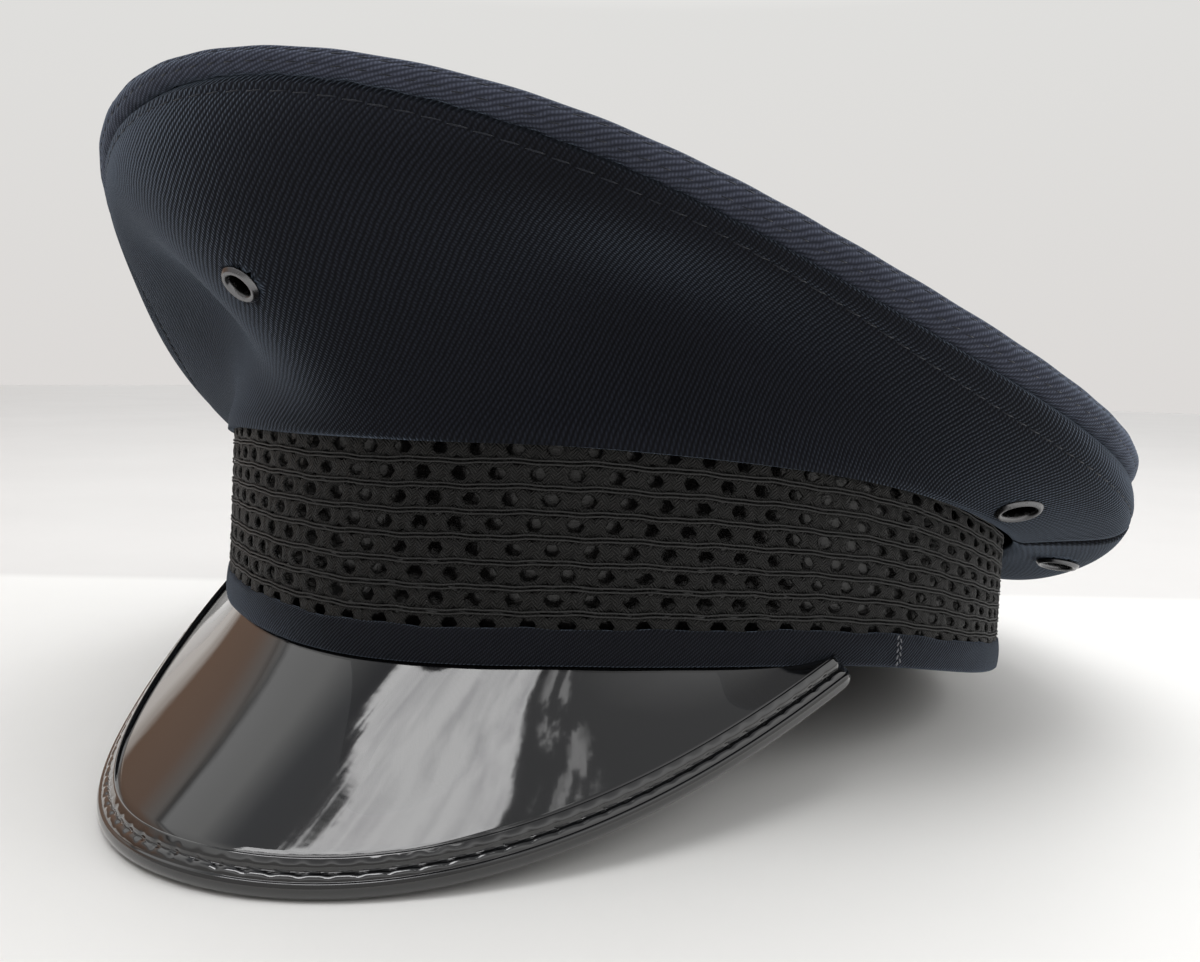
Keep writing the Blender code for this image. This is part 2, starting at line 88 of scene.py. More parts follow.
# One row every 30 degrees, front to rear: hem, arch, two handles of the crown's section, roll height
capColumns = ("hem", "arch", "rootOut", "rootUp", "rimOut", "rimDown", "roll")
capRows = (
    (0.95, -0.30, 0.10, 0.30, 1.22, 0.54, 0.56),
    (1.00, 0.50, -0.46, 0.92, 1.04, 0.36, 0.80),
    (0.96, 1.00, -0.04, 0.52, 0.94, 0.26, 1.00),
    (0.75, 0.00, 0.77, 0.31, 1.20, 0.90, 0.80),
    (0.62, 0.00, 0.80, -0.75, 1.24, 1.68, 0.78),
    (0.60, 0.00, 0.60, -0.75, 1.14, 1.60, 0.78),
    (0.60, 0.00, 0.60, -0.75, 1.14, 1.60, 0.78),
)


def smoothStep(low, high, value):
    t = min(max((value - low) / (high - low), 0.0), 1.0)
    return t * t * (3 - 2 * t)


@lru_cache(maxsize=None)
def rowValue(column, angle):
    place = abs(math.remainder(angle, turnAll)) / math.pi * (len(capRows) - 1)
    k = min(int(place), len(capRows) - 2)
    t = place - k
    index = capColumns.index(column)
    last = len(capRows) - 1
    a, b, c, d = (capRows[row][index] for row in (abs(k - 1), k, k + 1, last - abs(last - (k + 2))))
    return ((2 * t**3 - 3 * t**2 + 1) * b + (t**3 - 2 * t**2 + t) * (c - a) / 2
            + (3 * t**2 - 2 * t**3) * c + (t**3 - t**2) * (d - b) / 2)


def oval(angle, front, rear, half, corner):
    slim = 1 - corner * (1 - math.cos(4 * angle)) / 2
    return Vector((half * math.sin(angle) * slim,
                   (rear - front) / 2 - (rear + front) / 2 * math.cos(angle) * slim, 0.0))


@lru_cache(maxsize=None)
def bandOval(angle):
    return oval(angle, capShape["bandFront"], capShape["bandRear"], capShape["bandHalf"], capShape["bandCorner"])


@lru_cache(maxsize=None)
def bandOut(angle):
    along = bandOval(angle + 0.009) - bandOval(angle - 0.009)
    return Vector((along.y, -along.x, 0.0)).normalized()


def bandPoint(angle, height, out=0.0):
    point = bandOval(angle) + bandOut(angle) * out
    point.y -= capShape["bandLean"] * height
    point.z = height
    return point


def stripFoot(angle):
    return capShape["baseArch"] * rowValue("arch", angle)


def hemHeight(angle):
    return capShape["bandHeight"] * rowValue("hem", angle)


@lru_cache(maxsize=None)
def rimPoint(angle):
    s = capShape
    lift = (s["rimFrontHeight"] + s["rimRearHeight"]) / 4
    fall = (s["rimFrontHeight"] - s["rimRearHeight"]) / 2
    point = oval(angle, s["rimFront"], s["rimRear"], s["rimHalf"], s["rimCorner"])
    point.z = (lift + s["rimSideHeight"] / 2 + fall * (1 - s["rimSnap"]) * math.cos(angle)
               + (lift - s["rimSideHeight"] / 2) * math.cos(2 * angle) + fall * s["rimSnap"] * math.cos(3 * angle))
    turned = abs(math.degrees(math.remainder(angle, turnAll)))
    point.z += s["rimLift"] * smoothStep(12, 45, turned) * (1 - smoothStep(85, 115, turned))
    return point


def crownPoint(angle, share, depth=0.0):
    root = bandPoint(angle, hemHeight(angle), capShape["hemStandOff"])
    rim = rimPoint(angle)
    out = Vector((rim.x - root.x, rim.y - root.y, 0.0))
    reach, rise = out.length, rim.z - root.z
    out.normalize()
    a = Vector((0.0, 0.0))
    b = Vector((rowValue("rootOut", angle) * reach, rowValue("rootUp", angle) * rise))
    c = Vector((rowValue("rimOut", angle) * reach, (1 - rowValue("rimDown", angle)) * rise))
    d = Vector((reach, rise))
    t, r = share, 1 - share
    flat = a * r**3 + b * 3 * r * r * t + c * 3 * r * t * t + d * t**3
    if depth:
        slope = ((b - a) * 3 * r * r + (c - b) * 6 * r * t + (d - c) * 3 * t * t).normalized()
        flat += Vector((-slope.y, slope.x)) * depth
    return root + out * flat.x + Vector((0.0, 0.0, flat.y))


def world(point):
    return restTurn @ (point * mm)


def runningLength(points):
    travel = [0.0]
    for a, b in zip(points, points[1:]):
        travel.append(travel[-1] + (b - a).length)
    return travel


print("shape functions ready")


def addPiece(name, bm, material, nodes=()):
    mesh = bpy.data.meshes.new(name)
    bm.to_mesh(mesh)
    bm.free()
    mesh.materials.append(material)
    piece = bpy.data.objects.new(name, mesh)
    bpy.context.scene.collection.objects.link(piece)
    mesh.shade_smooth()
    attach(piece, "root")
    if nodes:
        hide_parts(*nodes)
    return piece


# A grid laid onto a surface: place(u, v) gives the point, mapTo(u, v) its UV in metres
def gridSurface(across, up, place, mapTo, closed=False):
    bm = bmesh.new()
    bmesh.ops.create_grid(bm, x_segments=across, y_segments=up, size=0.5)
    layer = bm.loops.layers.uv.new("weave")
    cornerOf = {vert: (vert.co.x + 0.5, vert.co.y + 0.5) for vert in bm.verts}
    flatOf = {vert: mapTo(*cornerOf[vert]) for vert in bm.verts}
    for face in bm.faces:
        for loop in face.loops:
            loop[layer].uv = flatOf[loop.vert]
    for vert in bm.verts:
        vert.co = world(place(*cornerOf[vert]))
    if closed:
        bmesh.ops.remove_doubles(bm, verts=bm.verts, dist=0.00001)
    return bm


# Turns an open sheet so that it faces away from the middle point
def faceOutward(bm, middle):
    bm.normal_update()
    score = sum((face.calc_center_median() - middle).dot(face.normal) * face.calc_area() for face in bm.faces)
    if score <= 0:
        bmesh.ops.reverse_faces(bm, faces=bm.faces)


def thicken(piece, amount):
    solid = piece.modifiers.new("wall", "SOLIDIFY")
    solid.thickness = amount * mm
    solid.offset = -1.0
    solid.use_even_offset = False


capMiddle = Vector((0.0, 0.0, 0.045))


def newMaterial(name, colour, roughness, metallic=0.0):
    made = bpy.data.materials.new(name)
    made.use_nodes = True
    shader = made.node_tree.nodes["Principled BSDF"]
    shader.inputs["Base Color"].default_value = (*colour, 1.0)
    shader.inputs["Roughness"].default_value = roughness
    shader.inputs["Metallic"].default_value = metallic
    return made, made.node_tree, shader


def calc(tree, operation, a, b=None, c=None, clamp=False):
    node = tree.nodes.new("ShaderNodeMath")
    node.operation = operation
    node.use_clamp = clamp
    for socket, value in zip(node.inputs, (a, b, c)):
        if value is None:
            continue
        if isinstance(value, (int, float)):
            socket.default_value = value
        else:
            tree.links.new(value, socket)
    return node.outputs[0]


def uvParts(tree, turn=0.0):
    source = tree.nodes.new("ShaderNodeUVMap")
    source.uv_map = "weave"
    mapping = tree.nodes.new("ShaderNodeMapping")
    mapping.inputs["Rotation"].default_value = (0.0, 0.0, math.radians(turn))
    mapping.inputs["Scale"].default_value = (1000.0, 1000.0, 1000.0)  # metres to mm
    tree.links.new(source.outputs[0], mapping.inputs["Vector"])
    split = tree.nodes.new("ShaderNodeSeparateXYZ")
    tree.links.new(mapping.outputs[0], split.inputs[0])
    return split.outputs[0], split.outputs[1], mapping.outputs[0]


def noiseAt(tree, place, scale, detail=2.0, roughness=0.5):
    made = tree.nodes.new("ShaderNodeTexNoise")
    made.inputs["Scale"].default_value = scale
    made.inputs["Detail"].default_value = detail
    made.inputs["Roughness"].default_value = roughness
    tree.links.new(place, made.inputs["Vector"])
    return made.outputs["Fac"]


def objectNoise(tree, scale, detail=3.0, roughness=0.5):
    place = tree.nodes.new("ShaderNodeTexCoord").outputs["Object"]
    return noiseAt(tree, place, scale, detail, roughness), place


# Few tiny dots: a share of the cells, chosen by one channel of their random colour
def speckMask(tree, place, scale, radius, channel, least):
    dots = tree.nodes.new("ShaderNodeTexVoronoi")
    dots.inputs["Scale"].default_value = scale
    tree.links.new(place, dots.inputs["Vector"])
    near = calc(tree, "LESS_THAN", dots.outputs["Distance"], radius)
    pick = tree.nodes.new("ShaderNodeSeparateColor")
    tree.links.new(dots.outputs["Color"], pick.inputs[0])
    return calc(tree, "MULTIPLY", near, calc(tree, "GREATER_THAN", pick.outputs[channel], least))


# A sine between 0 and 1 with the given pitch
def wave(tree, value, pitch):
    turned = calc(tree, "MULTIPLY", value, turnAll / pitch)
    return calc(tree, "MULTIPLY_ADD", calc(tree, "SINE", turned), 0.5, 0.5)


def ramp(tree, value, stops):
    node = tree.nodes.new("ShaderNodeValToRGB")
    node.color_ramp.elements[0].position = stops[0][0]
    node.color_ramp.elements[0].color = (*stops[0][1], 1.0)
    node.color_ramp.elements[1].position = stops[-1][0]
    node.color_ramp.elements[1].color = (*stops[-1][1], 1.0)
    for position, colour in stops[1:-1]:
        node.color_ramp.elements.new(position).color = (*colour, 1.0)
    tree.links.new(value, node.inputs[0])
    return node.outputs[0]


def mixColour(tree, share, a, b, blend="MIX"):
    node = tree.nodes.new("ShaderNodeMix")
    node.data_type = "RGBA"
    node.blend_type = blend
    for socket, value in ((node.inputs[0], share), (node.inputs[6], a), (node.inputs[7], b)):
        if isinstance(value, (int, float)):
            socket.default_value = value
        elif isinstance(value, tuple):
            socket.default_value = (*value, 1.0)
        else:
            tree.links.new(value, socket)
    return node.outputs[2]


def addBump(tree, shader, height, distance, after=None):
    node = tree.nodes.new("ShaderNodeBump")
    node.inputs["Strength"].default_value = 1.0
    node.inputs["Distance"].default_value = distance * mm
    tree.links.new(height, node.inputs["Height"])
    if after:
        tree.links.new(after, node.inputs["Normal"])
    tree.links.new(node.outputs[0], shader.inputs["Normal"])
    return node.outputs[0]


twillLook = {
    "deep": (0.0012, 0.0014, 0.0026), "thread": (0.0112, 0.0130, 0.0200), "pitch": 0.86, "dash": 0.62,
    "turn": 44.0, "sheen": 0.33, "lint": (0.30, 0.30, 0.30),
}


def makeTwill(name, look, pitchScale=1.0, turn=None, relief=0.16):
    made, tree, shader = newMaterial(name, look["thread"], 0.85)
    x, y, flat = uvParts(tree, look["turn"] if turn is None else turn)
    x = calc(tree, "MULTIPLY_ADD", noiseAt(tree, flat, 0.35), 0.55, x)  # yarns are never quite straight
    pitch = look["pitch"] * pitchScale
    rib = wave(tree, x, pitch)
    slant = calc(tree, "MULTIPLY_ADD", x, 0.5, y)
    dash = wave(tree, slant, look["dash"] * pitchScale)
    weave = calc(tree, "MULTIPLY", rib, calc(tree, "MULTIPLY_ADD", dash, 0.6, 0.4))
    cloud, objectPlace = objectNoise(tree, 26.0)
    fuzz, _ = objectNoise(tree, 1900.0, 1.0)
    lit = calc(tree, "MULTIPLY", weave, calc(tree, "MULTIPLY_ADD", fuzz, 0.9, 0.55), clamp=True)
    cloth = mixColour(tree, lit, look["deep"], look["thread"])
    tone = ramp(tree, cloud, ((0.3, (0.80, 0.80, 0.80)), (0.7, (1.22, 1.22, 1.22))))
    cloth = mixColour(tree, 1.0, cloth, tone, "MULTIPLY")
    lint = speckMask(tree, objectPlace, 95.0, 0.016, 0, 0.90)  # a little lint caught in the weave
    cloth = mixColour(tree, lint, cloth, look["lint"])
    tree.links.new(cloth, shader.inputs["Base Color"])
    addBump(tree, shader, calc(tree, "MULTIPLY_ADD", fuzz, 0.25, weave), relief)
    shader.inputs["Sheen Weight"].default_value = look["sheen"]
    shader.inputs["Sheen Roughness"].default_value = 0.35
    shader.inputs["Sheen Tint"].default_value = (0.60, 0.74, 0.96, 1.0)
    shader.inputs["Specular IOR Level"].default_value = 0.15
    return made


navyTwill = makeTwill("navyTwill", twillLook)
# Lit copy of the navy twill for the rolled edge: the same cloth painted several times lighter, as painted light where
# the roll turns up to the ceiling light.
rollPaintedLightLook = dict(twillLook, thread=(0.0660, 0.0730, 0.1030), deep=(0.0180, 0.0200, 0.0290))
rollPaintedLightTwill = makeTwill("rollPaintedLightTwill", rollPaintedLightLook, turn=62.0, relief=0.10)
stripLook = dict(twillLook, thread=(0.0135, 0.0145, 0.0200), sheen=0.34)
stripCloth = makeTwill("stripCloth", stripLook, pitchScale=0.62, turn=48.0, relief=0.10)

caneSettings = {"rows": 8, "holes": 91, "pitch": 6.67, "rowHeight": 3.84, "holeWide": 2.75, "holeHigh": 2.05,
                "wall": 0.9, "bulge": 0.42, "threadRadius": 0.19, "phase": 4.4, "threadSteps": 420,
                "threadSides": 6, "threadLines": (-0.34, 0.30)}
caneLook = {"deep": (0.0010, 0.0010, 0.0010), "strand": (0.0215, 0.0208, 0.0200), "roughness": 0.55}


# Plaited strands: crossing diagonals that swap over from cell to cell
def makeCane(name, look):
    made, tree, shader = newMaterial(name, look["strand"], look["roughness"])
    x, y, flat = uvParts(tree)
    x = calc(tree, "MULTIPLY_ADD", noiseAt(tree, flat, 0.9), 0.7, x)
    fallen = wave(tree, calc(tree, "ADD", x, y), 0.62)
    risen = wave(tree, calc(tree, "SUBTRACT", x, y), 0.62)
    over = wave(tree, x, caneSettings["pitch"] / 3)
    side = wave(tree, y, caneSettings["rowHeight"] / 2)
    swap = calc(tree, "GREATER_THAN", calc(tree, "ADD", over, calc(tree, "MULTIPLY", side, 0.6)), 0.8)
    strand = calc(tree, "ADD", calc(tree, "MULTIPLY", fallen, swap),
                  calc(tree, "MULTIPLY", risen, calc(tree, "SUBTRACT", 1.0, swap)))
    fuzz, _ = objectNoise(tree, 1500.0, 2.0)
    lit = calc(tree, "MULTIPLY", strand, calc(tree, "MULTIPLY_ADD", fuzz, 1.1, 0.4), clamp=True)
    tree.links.new(mixColour(tree, lit, look["deep"], look["strand"]), shader.inputs["Base Color"])
    addBump(tree, shader, calc(tree, "MULTIPLY_ADD", fuzz, 0.4, strand), 0.30)
    shader.inputs["Specular IOR Level"].default_value = 0.32
    return made


blackCane = makeCane("blackCane", caneLook)

patentLook = {"black": (0.0030, 0.0030, 0.0032), "dust": (0.35, 0.35, 0.35), "roughness": 0.035, "ripple": 0.045,
              "lean": 0.0}


def makePatent(name, look, ripple=1.0):
    made, tree, shader = newMaterial(name, look["black"], look["roughness"])
    slow, place = objectNoise(tree, 42.0, 3.0, 0.6)
    fine, _ = objectNoise(tree, 260.0, 2.0)
    height = calc(tree, "MULTIPLY_ADD", fine, 0.16, slow)
    lean = None
    if look["lean"]:  # the moulded sheet leans a little further forward than its ruled surface
        _, down, _ = uvParts(tree)
        lean = addBump(tree, shader, calc(tree, "MULTIPLY", down, -look["lean"]), 1.0)
    addBump(tree, shader, height, look["ripple"] * ripple, after=lean)
    dust = speckMask(tree, place, 130.0, 0.012, 1, 0.86)
    tree.links.new(mixColour(tree, dust, look["black"], look["dust"]), shader.inputs["Base Color"])
    smear, _ = objectNoise(tree, 18.0, 4.0, 0.65)
    tree.links.new(calc(tree, "MULTIPLY_ADD", smear, 0.05, look["roughness"] - 0.02), shader.inputs["Roughness"])
    shader.inputs["IOR"].default_value = 1.6
    shader.inputs["Coat Weight"].default_value = 0.6
    shader.inputs["Coat Roughness"].default_value = 0.02
    return made


patentTop = makePatent("patentTop", dict(patentLook, lean=0.12))
patentBinding = makePatent("patentBinding", dict(patentLook, roughness=0.05), ripple=1.6)

linerMaterial, linerTree, linerShader = newMaterial("blackLiner", (0.012, 0.011, 0.011), 0.22)
grainHeight, _ = objectNoise(linerTree, 900.0, 3.0)
linerSlow, _ = objectNoise(linerTree, 60.0, 2.0)
addBump(linerTree, linerShader, calc(linerTree, "MULTIPLY_ADD", linerSlow, 2.0, grainHeight), 0.08)


def makeThread(name, colour, roughness, scale=2600.0, detail=1.0, relief=0.10):
    made, tree, shader = newMaterial(name, colour, roughness)
    ply, _ = objectNoise(tree, scale, detail)
    addBump(tree, shader, ply, relief)
    return made, shader


darkThread, darkShader = makeThread("darkThread", (0.0135, 0.0155, 0.0220), 0.8)
darkShader.inputs["Sheen Weight"].default_value = 0.2
darkShader.inputs["Specular IOR Level"].default_value = 0.15
glossThread, _ = makeThread("glossThread", (0.007, 0.007, 0.008), 0.30)
caneThread, _ = makeThread("caneThread", (0.013, 0.0127, 0.0124), 0.6, 1700.0, 2.0, 0.16)
paleThread, _ = makeThread("paleThread", (0.16, 0.165, 0.18), 0.6)

gunmetal, metalTree, metalShader = newMaterial("gunmetal", (0.16, 0.16, 0.165), 0.24, 1.0)
metalWear, _ = objectNoise(metalTree, 700.0, 3.0)
metalTree.links.new(calc(metalTree, "MULTIPLY_ADD", metalWear, 0.22, 0.14), metalShader.inputs["Roughness"])
addBump(metalTree, metalShader, metalWear, 0.02)
print("materials ready")

panelSettings = {"steps": 300, "rearSteps": 240, "rows": 64, "wall": 1.3, "hemFold": 0.9, "seamTuck": 1.1,
                 "rimTuck": 2.6, "rimRise": 1.3, "stitchLine": (2.3, 7.6), "stitchDip": 0.22,
                 "coneInner": 190.0, "coneTurn": 0.50}
ventSize = {"radius": 4.75, "bore": 3.1}
eyeletSettings = {
    "badgeEyelet": {"node": "badge_eyelet", "angle": -1.1, "share": 0.53, "radius": 3.45, "bore": 1.9},
    "ventEyeletLeftFront": dict(ventSize, node="vent_eyelet_left_front", angle=80.0, share=0.18),
    "ventEyeletLeftRear": dict(ventSize, node="vent_eyelet_left_rear", angle=105.0, share=0.25),
    "ventEyeletRightFront": dict(ventSize, node="vent_eyelet_right_front", angle=-80.0, share=0.18),
    "ventEyeletRightRear": dict(ventSize, node="vent_eyelet_right_rear", angle=-105.0, share=0.25),
}


def crownLength(angle):
    points = [crownPoint(angle, k / 16) for k in range(17)]
    return sum((b - a).length for a, b in zip(points, points[1:]))


lengthAt = {}  # section lengths, kept by whole degrees


def sectionLength(angle):
    degrees = math.degrees(abs(math.remainder(angle, turnAll)))
    low = int(degrees)
    for key in (low, low + 1):
        if key not in lengthAt:
            lengthAt[key] = crownLength(math.radians(key))
    return lengthAt[low] + (lengthAt[low + 1] - lengthAt[low]) * (degrees - low)


def stitchDistance(angle):
    near, far = panelSettings["stitchLine"]
    return near + (far - near) * smoothStep(5, 60, abs(math.degrees(math.remainder(angle, turnAll))))


# The cloth's outer face, with its hem fold, stitch line, rim tuck and side seam
def panelSkin(angle, share, seamDistance):
    s = panelSettings
    length = sectionLength(angle)
    fromRim = (1 - share) * length
    fromHem = share * length
    line = stitchDistance(angle)
    depth = s["stitchDip"] * math.exp(-((fromRim - line) / 0.55) ** 2)
    depth -= 0.22 * math.exp(-((fromRim - line * 0.5) / (line * 0.3)) ** 2)  # double cloth between stitches and seam
    depth += s["hemFold"] * math.exp(-(fromHem / 0.8) ** 2)
    depth += s["seamTuck"] * math.exp(-(seamDistance / 0.9) ** 2)
    depth -= 0.14 * math.exp(-((seamDistance - 2.2) / 1.2) ** 2)
    spot = crownPoint(angle, share) * 0.02
    depth += 0.55 * noise.noise(spot) * smoothStep(2.0, 14.0, fromRim) * smoothStep(1.0, 10.0, fromHem)
    rim = rimPoint(angle)
    inward = Vector((0.0, capShape["rimMiddle"], 0.0)) - Vector((rim.x, rim.y, 0.0))
    tuck = inward.normalized() * s["rimTuck"] + Vector((0.0, 0.0, s["rimRise"]))  # the edge goes in under the roll
    return crownPoint(angle, share, depth) + tuck * math.exp(-(fromRim / 0.7) ** 2)


def panelPiece(name, node, start, end, steps):
    s = panelSettings
    rimRadius = capShape["rimHalf"]

    def angleShare(u, v):
        u = u + 0.035 * math.sin(turnAll * 2 * u) / 2  # a little finer by the seams
        share = v - 0.05 * math.sin(turnAll * v)
        return start + (end - start) * u, share

    def place(u, v):
        angle, share = angleShare(u, v)
        distance = min(abs(angle - start), abs(angle - end)) * rimRadius
        return panelSkin(angle, share, distance)

    def flat(u, v):
        angle, share = angleShare(u, v)
        out = (s["coneInner"] + share * sectionLength(angle)) * mm
        turn = math.remainder(angle - (start + end) / 2, turnAll) * s["coneTurn"]
        return Vector((out * math.sin(turn), out * math.cos(turn)))

    bm = gridSurface(steps, s["rows"], place, flat)
    faceOutward(bm, capMiddle)
    for eyelet in eyeletSettings.values():
        angle = math.radians(eyelet["angle"])
        if not start <= angle <= end and not start <= angle + turnAll <= end:
            continue
        centre = world(crownPoint(angle, eyelet["share"]))
        hole = (eyelet["bore"] + 0.45) * mm
        gone = [vert for vert in bm.verts if (vert.co - centre).length < hole]
        ring = {other for vert in gone for edge in vert.link_edges for other in edge.verts} - set(gone)
        bmesh.ops.delete(bm, geom=gone, context="VERTS")
        for vert in ring:
            if vert.is_valid:
                away = vert.co - centre
                vert.co = centre + away.normalized() * hole
    piece = addPiece(name, bm, navyTwill, (node,))
    thicken(piece, s["wall"])


seamAngle = math.radians(capShape["sideSeam"])
panelPiece("crownFrontPanel", "crown_front", -seamAngle, seamAngle, panelSettings["steps"])
panelPiece("crownRearPanel", "crown_rear", seamAngle, turnAll - seamAngle, panelSettings["rearSteps"])
print("crown panels ready")

topSettings = {"steps": 420, "rollHeight": 7.0, "overhang": 1.6, "return": 4.6, "dome": 5.0, "wall": 1.2,
               "rows": (0.40, 0.66), "rowDip": 0.13, "pucker": 0.17, "puckerPitch": 6.0, "rollRows": 40, "domeRows": 44,
               "meanRadius": 122, "rollWide": 10.5, "domeShift": 500.0}


def rollHeight(angle):
    return topSettings["rollHeight"] * rowValue("roll", angle)


def domePoint(angle, share, lift):
    s = capShape
    front, rear, side, rim = rimPoint(0.0), rimPoint(math.pi), rimPoint(math.pi / 2), rimPoint(angle)
    middle = Vector((0.0, (front.y + rear.y) / 2, 0.0))
    quarter = (front.z + rear.z) / 4
    fall = (front.z - rear.z) / 2
    point = middle + (Vector((rim.x, rim.y, 0.0)) - middle) * share
    point.z = (quarter + side.z / 2 + fall * (1 - s["rimSnap"]) * share * math.cos(angle)
               + (quarter - side.z / 2) * share**2 * math.cos(2 * angle)
               + fall * s["rimSnap"] * share**3 * math.cos(3 * angle) + lift + topSettings["dome"] * (1 - share**2))
    return point


def rollOut(angle):
    rim = rimPoint(angle)
    return (Vector((rim.x, rim.y, 0.0)) - Vector((0.0, capShape["rimMiddle"], 0.0))).normalized()


# The rolled edge from its tuck under the seam (0) round to where the dome starts (1)
def rollPoint(angle, t):
    s = topSettings
    height = rollHeight(angle)
    radius = height / 2
    turn = math.radians(-105 + 195 * t)
    out = s["overhang"] - radius + radius * math.cos(turn)
    up = radius + radius * math.sin(turn)
    dip = sum(s["rowDip"] * math.exp(-((t - row) / 0.045) ** 2) for row in s["rows"])
    slant = angle * round(turnAll * s["meanRadius"] / s["puckerPitch"]) + turnAll * 0.55 * t + 2.0 * math.sin(angle * 9)
    dip += s["pucker"] * math.sin(slant) * math.exp(-((t - 0.14) / 0.20) ** 2)  # the cloth gathers at its seam
    dip += 0.05 * math.sin(slant * 0.5 + 4 * t)
    out -= dip * math.cos(turn)
    up -= dip * math.sin(turn)
    if t > 0.72:  # easing back towards the dome
        out -= (s["return"] - s["overhang"]) * smoothStep(0.72, 1.0, t) * 0.45
    return rimPoint(angle) + rollOut(angle) * out + Vector((0.0, 0.0, up))


def topPoint(u, v):
    angle = turnAll * u + math.pi  # the join is at the rear
    rollShare = topSettings["rollRows"] / (topSettings["rollRows"] + topSettings["domeRows"])
    if v <= rollShare:
        return rollPoint(angle, v / rollShare)
    w = (v - rollShare) / (1 - rollShare)
    share = 0.955 * (1 - w) ** 1.15
    edge = rollHeight(angle) * share**2 + topSettings["rollHeight"] * (1 - share**2)
    point = domePoint(angle, share, edge)
    groove = math.exp(-((w - 0.055) / 0.02) ** 2)  # the seam inside the roll
    point.z -= 0.6 * groove
    spot = Vector((point.x, point.y, 0.0)) * 0.018
    point.z += 0.9 * noise.noise(spot) * smoothStep(0.06, 0.3, w)
    if w < 0.12:
        point = rollPoint(angle, 1.0).lerp(point, smoothStep(0.0, 0.12, w))
        point.z -= 0.45 * math.exp(-((w - 0.06) / 0.025) ** 2)
    return point


# The dome's cloth lies apart from the roll's, so that the two are told apart by their UV
def topFlat(u, v):
    s = topSettings
    angle = turnAll * u + math.pi
    rollShare = topSettings["rollRows"] / (topSettings["rollRows"] + topSettings["domeRows"])
    if v <= rollShare:
        return Vector((angle * s["meanRadius"], v / rollShare * s["rollWide"])) * mm
    point = topPoint(u, v)
    return Vector((point.x + s["domeShift"], point.y + s["domeShift"])) * mm


topRows = topSettings["rollRows"] + topSettings["domeRows"]
topMesh = gridSurface(topSettings["steps"], topRows, topPoint, topFlat, closed=True)
faceOutward(topMesh, capMiddle)
topPiece = addPiece("crownTopPanel", topMesh, rollPaintedLightTwill, ("crown_top",))
topPiece.data.materials.append(navyTwill)
weave = topPiece.data.uv_layers[0].data
# The roll's polygons also get the lighter twill, which is painted light for the roll catching the ceiling light.
for polygon in topPiece.data.polygons:  # the roll is cut on the bias, the dome isn't
    onRoll = all(weave[k].uv.y < 2 * topSettings["rollWide"] * mm for k in polygon.loop_indices)
    polygon.material_index = 0 if onRoll else 1
thicken(topPiece, topSettings["wall"])
print("top panel ready")


# Small rounded stitches, each laid along (place, along, normal)
def stitchRow(name, places, size, material, faces=1):
    bm = bmesh.new()
    for spot, along, normal in places:
        across = normal.cross(along).normalized()
        turn = Matrix((along, across, normal)).transposed().to_4x4()
        shape = Matrix.Diagonal((size[0] * mm / 2, size[1] * mm / 2, size[2] * mm / 2, 1.0))
        bmesh.ops.create_icosphere(bm, subdivisions=faces, radius=1.0, matrix=Matrix.Translation(spot) @ turn @ shape)
    addPiece(name, bm, material)


# Evenly spaced places on a closed line point(angle), each with its angle, spot and direction
def alongLine(point, pitch, jitter=0.0):
    count = 720
    angles = [turnAll * k / count for k in range(count + 1)]
    spots = [world(point(angle)) for angle in angles]
    travel = runningLength(spots)
    number = max(3, round(travel[-1] / (pitch * mm)))
    places = []
    k = 0
    for n in range(number):
        goal = travel[-1] * (n + 0.5) / number + random.uniform(-jitter, jitter) * mm
        while k < count - 1 and travel[k + 1] < goal:
            k += 1
        share = (goal - travel[k]) / max(travel[k + 1] - travel[k], 1e-9)
        angle = angles[k] + (angles[k + 1] - angles[k]) * share
        places.append((angle, spots[k].lerp(spots[k + 1], share), (spots[k + 1] - spots[k]).normalized()))
    return places


def crownNormal(angle, share):
    along = world(crownPoint(angle + 0.01, share)) - world(crownPoint(angle - 0.01, share))
    up = world(crownPoint(angle, min(share + 0.01, 1.0))) - world(crownPoint(angle, share - 0.01))
    return along.cross(up).normalized()


stitchSettings = {"size": (3.4, 0.27, 0.26), "pitch": 3.7, "sink": 0.17, "slant": 0.07}  # size: long, wide, high


def topStitchShare(angle):
    return 1 - stitchDistance(angle) / sectionLength(angle)


topPlaces = []
topStitchLine = alongLine(lambda a: crownPoint(a, topStitchShare(a), stitchSettings["sink"]), stitchSettings["pitch"])
for angle, spot, along in topStitchLine:
    normal = crownNormal(angle, topStitchShare(angle))
    side = normal.cross(along).normalized()
    topPlaces.append((spot, (along + side * stitchSettings["slant"]).normalized(), normal))
stitchRow("crownTopStitches", topPlaces, stitchSettings["size"], darkThread)

rollStitchSettings = {"size": (2.2, 0.25, 0.22), "pitch": 3.4, "jitter": 0.25}
rollPlaces = []
for row in topSettings["rows"]:
    rowPlaces = alongLine(lambda a, r=row: rollPoint(a, r), rollStitchSettings["pitch"], rollStitchSettings["jitter"])
    for angle, spot, along in rowPlaces:
        after = world(rollPoint(angle, row + 0.01)) - world(rollPoint(angle, row - 0.01))
        normal = along.cross(after).normalized()
        side = normal.cross(along).normalized()
        along = (along + side * random.uniform(0.05, 0.16)).normalized()
        rollPlaces.append((spot, along, normal))
stitchRow("rollStitches", rollPlaces, rollStitchSettings["size"], darkThread)
print("stitches ready")

arcSteps = 1440
arcTable = runningLength([bandOval(turnAll * k / arcSteps) for k in range(arcSteps + 1)])
bandRound = arcTable[-1]


def angleAtArc(distance):
    distance = distance % bandRound
    low, high = 0, len(arcTable) - 1
    while high - low > 1:
        middle = (low + high) // 2
        if arcTable[middle] <= distance:
            low = middle
        else:
            high = middle
    share = (distance - arcTable[low]) / (arcTable[high] - arcTable[low])
    return turnAll * (low + share) / (len(arcTable) - 1)


def caneTop(angle):
    return hemHeight(angle) + 1.2


